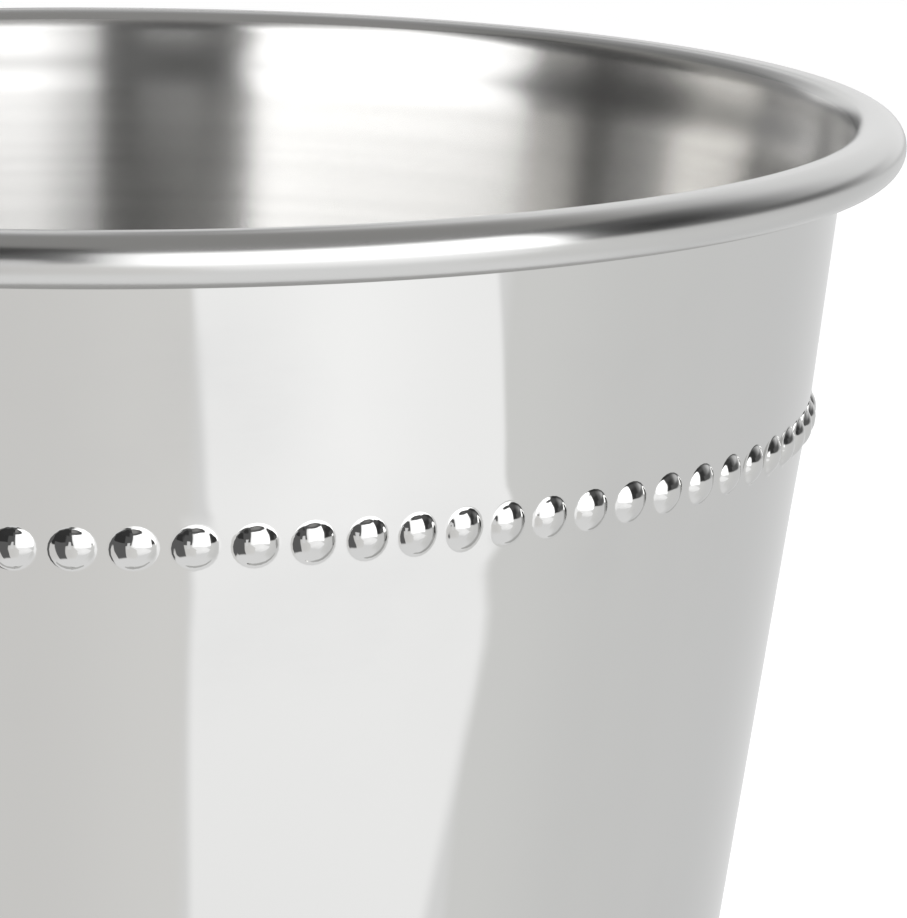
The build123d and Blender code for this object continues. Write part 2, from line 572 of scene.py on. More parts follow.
@dataclass(frozen=True)
class BrushedSteel(Steel):
    """Steel brushed round the cup's axis, with fine level hairlines."""

    name: str = "brushed_steel"
    bright: Colour = (0.745, 0.740, 0.730)
    dull: Colour = (0.697, 0.692, 0.683)
    gloss: float = 0.22
    spread: float = 0.03
    anisotropy: float = 1.0
    brush_turn: float = 0.25
    stroke: float = 24.0
    hairline: float = 1500.0
    band: float = 300.0
    line_share: float = 0.65
    tone_edges: Point = (0.25, 0.75)
    flat_lay: bool = False
    ring_hairline: float = 2200.0
    ring_band: float = 350.0
    ring_drift: float = 0.02

    def surface(self, graph: Graph) -> Mapping[str, Feed]:
        """Brush strokes in tone and gloss, blurred across the strokes.

        Args:
            graph: Tree to add to.

        Returns:
            Values or links, by the name of the shader's socket.
        """
        lines, bands = self._rings(graph) if self.flat_lay else self._levels(graph)
        tone = self.line_share * lines + (1.0 - self.line_share) * bands
        return {
            "Base Color": graph.mix(tone.rise(*self.tone_edges), self.dull, self.bright),
            "Roughness": self.gloss + self.spread * tone,
            "Anisotropic": self.anisotropy,
            "Anisotropic Rotation": self.brush_turn,
        }

    def _levels(self, graph: Graph) -> tuple[Flow, Flow]:
        """Level hairlines and wider bands of a brushed wall.

        Args:
            graph: Tree to add to.

        Returns:
            Fine and coarse noise.
        """
        fine = graph.place((self.stroke, self.stroke, self.hairline))
        coarse = graph.place((self.stroke / 2, self.stroke / 2, self.band))
        return graph.noise(fine, 1.0, detail=0.0), graph.noise(coarse, 1.0, detail=0.0)

    def _rings(self, graph: Graph) -> tuple[Flow, Flow]:
        """Round hairlines and wider bands of a brushed floor.

        Args:
            graph: Tree to add to.

        Returns:
            Fine and coarse noise.
        """
        coords = graph.node("ShaderNodeTexCoord", {}, {}, "Object")
        x = graph.node("ShaderNodeSeparateXYZ", {}, {0: coords}, "X")
        y = x.other("Y")
        parts = {0: (x * x + y * y) ** 0.5, 1: self.ring_drift * x, 2: self.ring_drift * y}
        ring = graph.node("ShaderNodeCombineXYZ", {}, parts)
        fine = graph.noise(ring, self.ring_hairline, detail=3.0, roughness=0.6)
        return fine, graph.noise(ring, self.ring_band, detail=2.0)


@dataclass(frozen=True)
class SatinSteel(Steel):
    """Plain drawn or soldered metal with soft mottling."""

    spread: float
    mottle: float
    tone_edges: Point = (0.3, 0.7)
    pit_strength: float = 0.6
    pit_depth: float = 2.0e-5

    def surface(self, graph: Graph) -> Mapping[str, Feed]:
        """Mottled tone and gloss, with shallow pits.

        Args:
            graph: Tree to add to.

        Returns:
            Values or links, by the name of the shader's socket.
        """
        spots = graph.noise(graph.place(), self.mottle, detail=5.0, roughness=0.6)
        return {
            "Base Color": graph.mix(spots.rise(*self.tone_edges), self.dull, self.bright),
            "Roughness": self.gloss + self.spread * spots,
            "Normal": graph.bump(spots, self.pit_strength, self.pit_depth),
        }


class Bench:
    """Hand tools of the modelling: each one is a few operators on the active object."""

    @staticmethod
    def clear() -> None:
        """Leave edit mode and deselect everything."""
        active = bpy.context.view_layer.objects.active
        if active is not None and active.mode != "OBJECT":
            bpy.ops.object.mode_set(mode="OBJECT")
        bpy.ops.object.select_all(action="DESELECT")

    @staticmethod
    def pick(*pieces: bpy.types.Object) -> None:
        """Select these objects alone, with the last one active.

        Args:
            pieces: Objects to select.
        """
        Bench.clear()
        for piece in pieces:
            piece.select_set(True)
        bpy.context.view_layer.objects.active = pieces[-1]

    @staticmethod
    def take(name: str) -> bpy.types.Object:
        """Name the active object and its mesh.

        Args:
            name: Name of the piece.

        Returns:
            The object.
        """
        piece = bpy.context.active_object
        piece.name = name
        piece.data.name = name
        return piece

    @staticmethod
    def start_point(name: str, point: Point) -> bpy.types.Object:
        """Start a piece as one vertex of its section, and stay in edit mode.

        Args:
            name: Name of the piece.
            point: Radius and height, in millimetres.

        Returns:
            The object.
        """
        Bench.clear()
        bpy.ops.mesh.primitive_plane_add(size=MM, location=(point[0] * MM, 0.0, point[1] * MM))
        piece = Bench.take(name)
        bpy.ops.object.transform_apply(location=True, rotation=True, scale=True)
        bpy.ops.object.mode_set(mode="EDIT")
        bpy.ops.mesh.select_mode(type="VERT")
        bpy.ops.mesh.select_all(action="SELECT")
        bpy.ops.mesh.merge(type="CENTER")
        return piece

    @staticmethod
    def extrude(step: Sequence[float]) -> None:
        """Extrude what is selected by a step in metres."""
        bpy.ops.mesh.extrude_region_move(TRANSFORM_OT_translate={"value": tuple(step)})

    @staticmethod
    def spin(turns: int) -> None:
        """Spin the whole section round the cup's axis, close it and leave edit mode.

        Args:
            turns: Steps of the full turn.
        """
        bpy.ops.mesh.select_all(action="SELECT")
        bpy.ops.mesh.spin(steps=turns, angle=2 * math.pi, center=(0, 0, 0), axis=(0, 0, 1))
        Bench.close()

    @staticmethod
    def close() -> None:
        """Merge doubles, turn all faces outward and leave edit mode."""
        bpy.ops.mesh.select_all(action="SELECT")
        bpy.ops.mesh.remove_doubles(threshold=MERGE)
        bpy.ops.mesh.normals_make_consistent(inside=False)
        bpy.ops.object.mode_set(mode="OBJECT")

    @staticmethod
    def pick_level(piece: bpy.types.Object, level: float) -> None:
        """Select the edges that lie at one height of the flat strip.

        Args:
            piece: Object in edit mode.
            level: Height of the edges, in metres.
        """
        bpy.ops.mesh.select_mode(type="EDGE")
        bpy.ops.mesh.select_all(action="DESELECT")
        mesh = bmesh.from_edit_mesh(piece.data)
        for edge in mesh.edges:
            edge.select = all(abs(vertex.co.y - level) < MERGE for vertex in edge.verts)
        bmesh.update_edit_mesh(piece.data)

    @staticmethod
    def smooth(piece: bpy.types.Object, angle_deg: float) -> None:
        """Shade smooth, with a crease at sharper angles."""
        Bench.pick(piece)
        bpy.ops.object.shade_smooth_by_angle(angle=math.radians(angle_deg))


@dataclass
class CupPiece(ABC):
    """Piece of the cup that stands for one CAD node."""

    sizes: CupSizes
    name: str
    node: str
    part: SteelPart
    piece: Optional[bpy.types.Object] = field(default=None, init=False)

    @abstractmethod
    def build(self) -> None:
        """Model the mesh."""

    @abstractmethod
    def dress(self) -> None:
        """Give the mesh its finish."""

    def declare(self) -> None:
        """Attach the piece to the root body and hide the CAD node that it stands for."""
        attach(self.piece, "root")
        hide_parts(self.node)

    def make(self) -> None:
        self.build()
        self.dress()
        self.declare()
        self.piece.data.calc_loop_triangles()
        LOG.info("%s: %d triangles", self.name, len(self.piece.data.loop_triangles))


@dataclass
class TurnedPiece(CupPiece):
    """Piece spun from a section."""

    turns: int = 180
    crease_deg: float = 34.0
    finish: Steel = MirrorSteel()

    @abstractmethod
    def outline(self) -> Outline:
        """Section of the piece."""

    def build(self) -> None:
        """Draw the section vertex by vertex and spin it."""
        points = self.outline().points()
        self.piece = Bench.start_point(self.name, points[0])
        for before, after in zip(points, points[1:]):
            Bench.extrude(((after[0] - before[0]) * MM, 0.0, (after[1] - before[1]) * MM))
        Bench.spin(self.turns)
        Bench.smooth(self.piece, self.crease_deg)

    def dress(self) -> None:
        """Give the piece its one finish."""
        self.piece.data.materials.append(self.finish.material())


@dataclass
class FloorPan(TurnedPiece):
    """Crowned floor with a flange turned down inside the wall."""

    crown_steps: int = 16

    def outline(self) -> Outline:
        """Section from the middle of the floor, round the flange and back underneath.

        Returns:
            The section.
        """
        size = self.sizes
        centre = size.pan_bend_centre
        inner = size.pan_bend_radius - size.pan_sheet
        turn_deg = 90.0 + size.lower_taper_deg
        lip_out = (size.pan_edge(size.foot_ledge), size.foot_ledge)
        lip_in = (lip_out[0] - size.pan_sheet / size.lower_lean, size.foot_ledge)
        return Outline((
            self._crown(size.floor_height, centre[0]),
            Bend(centre, size.pan_bend_radius, 90.0, -turn_deg, steps=10),
            Straight(polar(centre, size.pan_bend_radius, -size.lower_taper_deg), lip_out, steps=3),
            Straight(lip_out, lip_in),
            Straight(lip_in, polar(centre, inner, -size.lower_taper_deg), steps=3),
            Bend(centre, inner, -size.lower_taper_deg, turn_deg, steps=8),
            self._crown(size.floor_height - size.pan_sheet, centre[0]).back(),
        ))

    def _crown(self, level: float, reach: float) -> Bend:
        """Shallow dome of the floor.

        Args:
            level: Height of the dome's edge.
            reach: Radius of the dome's edge.

        Returns:
            The leg, from the middle to the edge.
        """
        rise = self.sizes.floor_crown
        radius = (reach**2 + rise**2) / (2 * rise)
        spread_deg = math.degrees(math.asin(reach / radius))
        return Bend((0.0, level + rise - radius), radius, 90.0, -spread_deg, self.crown_steps)


@dataclass
class FloorSolder(TurnedPiece):
    """Hollow fillet of solder between the floor and the wall."""

    def outline(self) -> Outline:
        """Section of the fillet.

        Returns:
            The section.
        """
        size = self.sizes
        centre = size.pan_bend_centre
        gap = size.solder_gap / size.lower_lean
        bed = size.pan_bend_radius + size.solder_gap
        deep_deg = 90.0 - size.solder_depth_deg
        floor_end = polar(centre, bed, 90.0)
        deep_in = polar(centre, bed, deep_deg)
        deep_out = (size.wall_in(deep_in[1]) - gap, deep_in[1])
        top = size.floor_height + size.solder_height
        wall_top = (size.wall_in(top) - gap, top)
        return Outline((
            self._face(wall_top, floor_end),
            Bend(centre, bed, 90.0, -size.solder_depth_deg, steps=6),
            Straight(deep_in, deep_out),
            Straight(deep_out, wall_top, steps=4),
        ))

    def _face(self, top: Point, low: Point) -> Bend:
        """Hollow face of the fillet.

        Args:
            top: Edge on the wall.
            low: Edge on the floor.

        Returns:
            The leg.
        """
        radius = self.sizes.solder_face_radius
        half = math.dist(top, low) / 2
        middle = ((top[0] + low[0]) / 2, (top[1] + low[1]) / 2)
        away = math.degrees(math.atan2(low[1] - top[1], low[0] - top[0])) - 90.0
        centre = polar(middle, math.sqrt(radius**2 - half**2), away)
        start_deg = math.degrees(math.atan2(top[1] - centre[1], top[0] - centre[0]))
        turn_deg = 2 * math.degrees(math.asin(half / radius))
        return Bend(centre, radius, start_deg, -turn_deg, steps=10)


@dataclass
class FootRing(TurnedPiece):
    """Moulded ring that the wall stands in."""

    def outline(self) -> Outline:
        """Section of the ring, from its inner edge over the collar to the rest face.

        Returns:
            The section.
        """
        size = self.sizes
        gap = size.solder_gap / size.lower_lean
        seat = size.foot_ledge - size.solder_gap
        inner = size.pan_edge(size.foot_ledge) - size.pan_sheet / size.lower_lean
        outer = size.wall_out(size.foot_ledge) + size.foot_reach
        seat_in = (inner, seat)
        seat_out = (size.wall_out(seat) + gap, seat)
        top_in = (size.wall_out(size.foot_height) + gap, size.foot_height)
        top_out = (top_in[0] + size.foot_collar, size.foot_height)
        round_centre = (outer - size.foot_round_radius, size.foot_round_radius)
        edge_centre = (outer - size.foot_edge_radius, size.foot_edge_radius)
        return Outline((
            Straight((inner, 0.0), seat_in, steps=2),
            Straight(seat_in, seat_out),
            Straight(seat_out, top_in, steps=3),
            Straight(top_in, top_out),
            Straight(top_out, polar(round_centre, size.foot_round_radius, size.foot_round_deg), steps=3),
            Bend(round_centre, size.foot_round_radius, size.foot_round_deg, -size.foot_round_deg, steps=12),
            Straight((outer, size.foot_round_radius), (outer, size.foot_edge_radius), steps=2),
            Bend(edge_centre, size.foot_edge_radius, 0.0, -90.0, steps=6),
            Straight((edge_centre[0], 0.0), (inner, 0.0), steps=2),
        ))


@dataclass
class CupWall(CupPiece):
    """Wall sheet with its bead row and rolled rim, modelled as one flat bay and wrapped round the cup."""

    ring_sides: int = 24
    band_half: float = 1.6
    bead_skirt: float = 1.27
    bead_shares: tuple[float, ...] = (0.93, 0.82, 0.66, 0.46, 0.24)
    crease_radius: float = 0.28
    crease_steps: int = 4
    dimple_skirt: float = 1.1
    dimple_shares: tuple[float, ...] = (0.85, 0.62, 0.34)
    neck_steps: int = 5
    ease_steps: int = 6
    bore_steps: tuple[int, ...] = (4, 1, 6, 1, 2)
    roll_steps: tuple[int, ...] = (13, 2, 25, 1, 6)
    outer_spacing: tuple[float, ...] = (
        2.0, 2.6, 3.4, 4.6, 6.4, 9.0, 13.0, 19.0, 27.0, 38.0, 52.0, 68.0, 82.0
    )
    inner_spacing: tuple[float, ...] = (
        -12.0, -9.0, -6.0, -4.0, -2.4, 2.4, 5.0, 10.0, 20.0, 34.0, 50.0, 66.0, 80.0
    )
    foot_clear: float = 1.0
    neck_clear: float = 0.3
    row_clear: float = 0.02
    ridge_height: float = 0.05
    ridge_width: float = 3.0
    kink_ease: float = 4.0
    guard: float = 0.15
    brush_start_deg: float = 142.0
    ease_radius: float = 7.0
    smooth_deg: float = 40.0
    mirror: MirrorSteel = MirrorSteel()
    brushed: BrushedSteel = BrushedSteel()
    rim: BrushedSteel = BrushedSteel(
        "rim_steel", (0.645, 0.645, 0.638), (0.615, 0.615, 0.610), 0.20, 0.05, 0.6
    )
    bead: MirrorSteel = MirrorSteel("bead_steel", ripple=3.0e-5, ripple_scale=1600.0)

    @cached_property
    def outline(self) -> Outline:
        """Section from the outer foot, over the roll, down the inside and back.

        Returns:
            The section.
        """
        size = self.sizes
        back, out = size.back_centre, size.out_centre
        bore = size.roll_radius - size.sheet
        foot_out = (size.wall_out(size.foot_ledge), size.foot_ledge)
        foot_in = (size.wall_in(size.foot_ledge), size.foot_ledge)
        back_out = size.neck_back_radius + size.sheet
        neck_out = polar(out, size.neck_out_radius, size.wall_deg)
        ease = self._ease_legs(polar(out, size.neck_out_radius + size.sheet, size.wall_deg))
        neck_in = ease[1].at(ease[1].length)[:2]
        curl_in = polar(size.roll_inner, bore, -size.curl_end_deg)
        curl_out = polar(size.roll_inner, size.roll_radius, -size.curl_end_deg)
        return Outline((
            Straight(foot_out, size.kink_out),
            Straight(size.kink_out, neck_out),
            Bend(out, size.neck_out_radius, size.wall_deg, -size.neck_turn_deg, self.neck_steps),
            Bend(back, back_out, size.neck_deg, size.neck_turn_deg, self.neck_steps),
            *self._roll_legs(bore, self.bore_steps),
            Straight(curl_in, curl_out),
            *[leg.back() for leg in self._roll_legs(size.roll_radius, self.roll_steps)[::-1]],
            *ease,
            Straight(neck_in, size.kink_in),
            Straight(size.kink_in, foot_in),
            Straight(foot_in, foot_out),
        ))

    def _ease_legs(self, on_wall: Point) -> list[Bend]:
        """Two easy bends that bring the roll's inner side down onto the wall.

        Args:
            on_wall: Any place on the inner face of the wall above the beads.

        Returns:
            The bends, from the roll down.
        """
        size = self.sizes
        taper = math.radians(size.upper_taper_deg)
        roll_side = polar(size.roll_inner, size.roll_radius, size.wall_deg)
        step = (roll_side[0] - on_wall[0]) * math.cos(taper) - (roll_side[1] - on_wall[1]) * math.sin(taper)
        turn_deg = math.degrees(math.acos(1.0 - step / (2 * self.ease_radius)))
        upper = polar(roll_side, self.ease_radius, size.wall_deg)
        lower = polar(upper, 2 * self.ease_radius, -size.upper_taper_deg - turn_deg)
        return [
            Bend(upper, self.ease_radius, -size.upper_taper_deg, -turn_deg, self.ease_steps),
            Bend(lower, self.ease_radius, size.wall_deg - turn_deg, turn_deg, self.ease_steps),
        ]

    def _roll_legs(self, radius: float, steps: Sequence[int]) -> list[Leg]:
        """Legs of one face of the roll, from the neck to the end of the curl.

        Args:
            radius: Radius of its rounds.
            steps: Rows of each leg.

        Returns:
            The legs.
        """
        size = self.sizes
        inner, outer = size.roll_inner, size.roll_outer
        return [
            Bend(inner, radius, size.wall_deg, 90.0 - size.wall_deg, steps[0]),
            Straight(polar(inner, radius, 90.0), polar(outer, radius, 90.0), steps[1]),
            Bend(outer, radius, 90.0, -180.0, steps[2]),
            Straight(polar(outer, radius, -90.0), polar(inner, radius, -90.0), steps[3]),
            Bend(inner, radius, -90.0, 90.0 - size.curl_end_deg, steps[4]),
        ]

    @property
    def bay(self) -> float:
        """Width of one bay at the bead row, in millimetres."""
        return 2 * math.pi * self.sizes.wall_out(self.sizes.bead_level) / self.sizes.bead_count

    @property
    def outer_row(self) -> float:
        """Run of the bead centres on the outside."""
        size = self.sizes
        return (size.bead_level - size.foot_ledge) / size.lower_lean

    @property
    def inner_row(self) -> float:
        """Run of the dimple centres on the inside.

        Returns:
            The run, in millimetres.
        """
        size = self.sizes
        depth = size.sheet * math.sin(math.radians(size.lower_taper_deg))
        level = size.bead_level + depth
        return self.outline.starts[WallLeg.LOWER_IN] + (size.kink_in[1] - level) / size.lower_lean

    @property
    def brush_run(self) -> float:
        """Run at which the polish of the roll gives way to brushing."""
        turn = math.radians(self.brush_start_deg - 90.0)
        return self.outline.starts[WallLeg.ROLL_TOP_IN] + self.sizes.roll_radius * turn

    def _dome_radius(self) -> float:
        """Radius of the sphere that a bead is part of."""
        size = self.sizes
        return ((size.bead_diameter / 2) ** 2 + size.bead_height**2) / (2 * size.bead_height)

    def bead_rings(self) -> list[Point]:
        """Rings of a bead from its flat rim inward.

        Returns:
            Radius and height of each ring, in millimetres.
        """
        dome = self._dome_radius()
        sunk = dome - self.sizes.bead_height
        crease = self.crease_radius
        middle = math.sqrt((dome + crease) ** 2 - (sunk + crease) ** 2)
        touch_deg = math.degrees(math.atan2(-(sunk + crease), -middle))
        rings = [(self.bead_skirt, 0.0)]
        for step in range(self.crease_steps):
            angle_deg = -90.0 + (touch_deg + 90.0) * step / (self.crease_steps - 1)
            rings.append(polar((middle, crease), crease, angle_deg))
        edge = rings[-1][0]
        for share in self.bead_shares:
            rings.append((edge * share, math.sqrt(dome**2 - (edge * share) ** 2) - sunk))
        return rings

    def dimple_rings(self) -> list[Point]:
        """Rings of the dimple behind a bead from its flat rim inward.

        Returns:
            Radius and height of each ring, in millimetres.
        """
        hollow = self._dome_radius() - self.sizes.sheet
        sunk = hollow - self.sizes.bead_height
        edge = math.sqrt(hollow**2 - sunk**2)
        rings = [(self.dimple_skirt, 0.0), (edge, 0.0)]
        for share in self.dimple_shares:
            rings.append((edge * share, sunk - math.sqrt(hollow**2 - (edge * share) ** 2)))
        return rings

    def _patch(self, name: str, run: float, rings: Sequence[Point]) -> bpy.types.Object:
        """Model one bead or dimple in a flat rectangle of the strip.

        Args:
            name: Name of the object.
            run: Run of its centre, in millimetres.
            rings: Radius and height of each ring, from the outside in.

        Returns:
            The object, in object mode.
        """
        Bench.clear()
        place = (0.0, run * MM, 0.0)
        bpy.ops.mesh.primitive_circle_add(
            vertices=self.ring_sides, radius=rings[0][0] * MM, fill_type="NGON", location=place
        )
        patch = Bench.take(name)
        bpy.ops.object.transform_apply(location=True, rotation=True, scale=True)
        bpy.ops.object.mode_set(mode="EDIT")
        bpy.ops.mesh.select_mode(type="FACE")
        bpy.ops.mesh.select_all(action="SELECT")
        flat = math.cos(math.pi / self.ring_sides)
        for before, after in zip(rings, rings[1:]):
            thickness = (before[0] - after[0]) * flat * MM
            bpy.ops.mesh.inset(thickness=thickness, depth=(after[1] - before[1]) * MM)
        bpy.ops.mesh.poke()
        self._frame(patch, run * MM)
        bpy.ops.object.mode_set(mode="OBJECT")
        return patch

    def _frame(self, patch: bpy.types.Object, run: float) -> None:
        """Extrude the round rim of a patch out to the rectangle of its bay.

        Args:
            patch: Object in edit mode.
            run: Run of its centre, in metres.
        """
        bpy.ops.mesh.select_mode(type="EDGE")
        bpy.ops.mesh.select_all(action="DESELECT")
        bpy.ops.mesh.select_non_manifold()
        Bench.extrude((0.0, 0.0, 0.0))
        half_width, half_height = self.bay / 2 * MM, self.band_half * MM
        mesh = bmesh.from_edit_mesh(patch.data)
        for vertex in mesh.verts:
            if vertex.select:
                angle_deg = math.degrees(math.atan2(vertex.co.y - run, vertex.co.x))
                across, along = self._square(angle_deg)
                vertex.co = (across * half_width, run + along * half_height, 0.0)
        bmesh.update_edit_mesh(patch.data)

    @staticmethod
    def _square(angle_deg: float) -> Point:
        """Place on the edge of a square, evenly spaced by angle.

        Args:
            angle_deg: Angle round the middle.

        Returns:
            The two coordinates, from -1 to 1.
        """
        quarter = round(angle_deg / 90.0)
        slide = (angle_deg - 90.0 * quarter) / 45.0
        sides = ((1.0, slide), (-slide, 1.0), (-1.0, -slide), (slide, -1.0))
        return sides[quarter % 4]

    def _rows_between(self, low: float, high: float) -> list[float]:
        """Rows of the outline between two runs, with the second run last."""
        clear = self.row_clear
        return [row for row in self._all_rows() if low + clear < row < high - clear] + [high]

    def _all_rows(self) -> list[float]:
        """Rows of the outline, closer together near the bead row and on long straights.

        Returns:
            Runs of the rows, in order.
        """
        starts = self.outline.starts
        neck_out, neck_in = starts[WallLeg.NECK_OUT], starts[WallLeg.UPPER_IN]
        below = [self.outer_row - step for step in self.outer_spacing]
        above = [self.outer_row + step for step in self.outer_spacing]
        inside = [self.inner_row + step for step in self.inner_spacing]
        rows = set(self.outline.rows())
        rows.update(row for row in below if row > self.foot_clear)
        rows.update(row for row in above if row < neck_out - self.neck_clear)
        rows.update(row for row in inside if row > neck_in + self.neck_clear)
        rows.update((neck_out - self.guard, neck_in + self.guard))
        return sorted(rows)

    def _strip(self) -> None:
        """Model one bay of the wall, flat: the bead, the dimple and all rows between and beyond."""
        low, high = self.outer_row, self.inner_row
        bead = self._patch(self.name, low, self.bead_rings())
        dimple = self._patch(f"{self.name}_dimple", high, self.dimple_rings())
        Bench.pick(dimple, bead)
        bpy.ops.object.join()
        self.piece = bead
        bpy.ops.object.mode_set(mode="EDIT")
        total = self.outline.starts[-1]
        self._extend(low + self.band_half, self._rows_between(low + self.band_half, high - self.band_half))
        self._extend(high + self.band_half, self._rows_between(high + self.band_half, total))
        below = [row for row in self._all_rows() if row < low - self.band_half - self.row_clear]
        self._extend(low - self.band_half, below[::-1])
        bpy.ops.mesh.select_all(action="SELECT")
        bpy.ops.mesh.remove_doubles(threshold=MERGE)
        bpy.ops.object.mode_set(mode="OBJECT")

    def _extend(self, start: float, rows: Sequence[float]) -> None:
        """Extrude one edge of the strip through a list of rows.

        Args:
            start: Run of the edge, in millimetres.
            rows: Runs of the new rows, in order.
        """
        Bench.pick_level(self.piece, start * MM)
        before = start
        for row in rows:
            Bench.extrude((0.0, (row - before) * MM, 0.0))
            before = row

    def _repeat(self) -> None:
        """Repeat the bay for every bead."""
        array = self.piece.modifiers.new("bays", "ARRAY")
        array.count = self.sizes.bead_count
        array.use_relative_offset = False
        array.use_constant_offset = True
        array.constant_offset_displace = (self.bay * MM, 0.0, 0.0)
        array.use_merge_vertices = True
        array.merge_threshold = MERGE
        Bench.pick(self.piece)
        bpy.ops.object.modifier_apply(modifier=array.name)

    def _mark_finishes(self) -> None:
        """Sort the faces of the flat strip by finish: polished, beads, rim and brushed inside."""
        mesh = self.piece.data
        centres = np.empty(len(mesh.polygons) * 3)
        mesh.polygons.foreach_get("center", centres)
        runs = centres[1::3] / MM
        aside = (centres[0::3] / MM + self.bay / 2) % self.bay - self.bay / 2
        kinds = np.full(len(runs), WallFace.MIRROR.value)
        kinds[np.hypot(aside, runs - self.outer_row) < self.sizes.bead_diameter / 2] = WallFace.BEAD.value
        kinds[runs > self.outline.starts[WallLeg.CURL_OUT]] = WallFace.RIM.value
        kinds[runs > self.brush_run] = WallFace.BRUSHED.value
        kinds[runs > self.outline.starts[WallLeg.FOOT]] = WallFace.MIRROR.value
        for finish in (self.mirror, self.brushed, self.rim, self.bead):
            mesh.materials.append(finish.material())
        mesh.polygons.foreach_set("material_index", kinds.astype(np.int32))

    def _swell(self, run: float) -> float:
        """Slow rise of the outer face: a low ridge along the beads and an eased change of taper.

        Args:
            run: Run on the outside, in millimetres.

        Returns:
            Distance along the normal.
        """
        ridge = self.ridge_height * math.exp(-(((run - self.outer_row) / self.ridge_width) ** 2))
        turn = math.radians(self.sizes.lower_taper_deg - self.sizes.upper_taper_deg)
        away = abs(run - self.outline.starts[WallLeg.UPPER_OUT])
        ease = max(self.kink_ease - away, 0.0) ** 2 * turn / (4 * self.kink_ease)
        return ridge - ease if run < self.outline.starts[WallLeg.NECK_OUT] else 0.0

    def _wrap(self) -> None:
        """Wrap the flat strip round the section; the bead spacing wanders a little, as pressed by hand."""
        size = self.sizes
        mesh = self.piece.data
        flat = np.empty(len(mesh.vertices) * 3)
        mesh.vertices.foreach_get("co", flat)
        flat = flat.reshape(-1, 3) / MM
        share = flat[:, 0] / (self.bay * size.bead_count)
        wave = np.cos(2 * np.pi * size.bead_wander_waves * share)
        angle = np.radians(size.first_bead_deg + 360.0 * share - size.bead_wander_deg * wave)
        runs, index = np.unique(np.round(flat[:, 1], decimals=5), return_inverse=True)
        places = np.array([(*self.outline.at(run), self._swell(run)) for run in runs])[index]
        lift = flat[:, 2] + places[:, 4]
        radius = places[:, 0] + places[:, 2] * lift
        height = places[:, 1] + places[:, 3] * lift
        wrapped = np.stack((radius * np.sin(angle), -radius * np.cos(angle), height), axis=1)
        mesh.vertices.foreach_set("co", (wrapped * MM).ravel())
        mesh.update()

    def build(self) -> None:
        """Model a bay, repeat it, wrap it and close the seams."""
        self._strip()
        self._repeat()
        self._mark_finishes()
        self._wrap()
        bpy.ops.object.mode_set(mode="EDIT")
        Bench.close()
        Bench.smooth(self.piece, self.smooth_deg)

    def dress(self) -> None:
        """Report the finishes, which the flat strip already carries."""
        LOG.info("%s: finishes %s", self.name, [slot.name for slot in self.piece.data.materials])


@dataclass(frozen=True)
class Panel:
    """Patch of the studio as polished metal sees it, by azimuth from the camera and elevation, in degrees."""

    west: float
    east: float
    low: float
    high: float
    glow: Union[float, Colour]
    soft_west: float = 3.0
    soft_east: float = 3.0
    soft_low: float = 3.0
    soft_high: float = 3.0
    lean_west: float = 0.0
    lean_east: float = 0.0
    pivot: float = -24.0

    @property
    def colour(self) -> Colour:
        """Colour of the patch, where a single number is a grey."""
        return self.glow if isinstance(self.glow, tuple) else (self.glow,) * 3


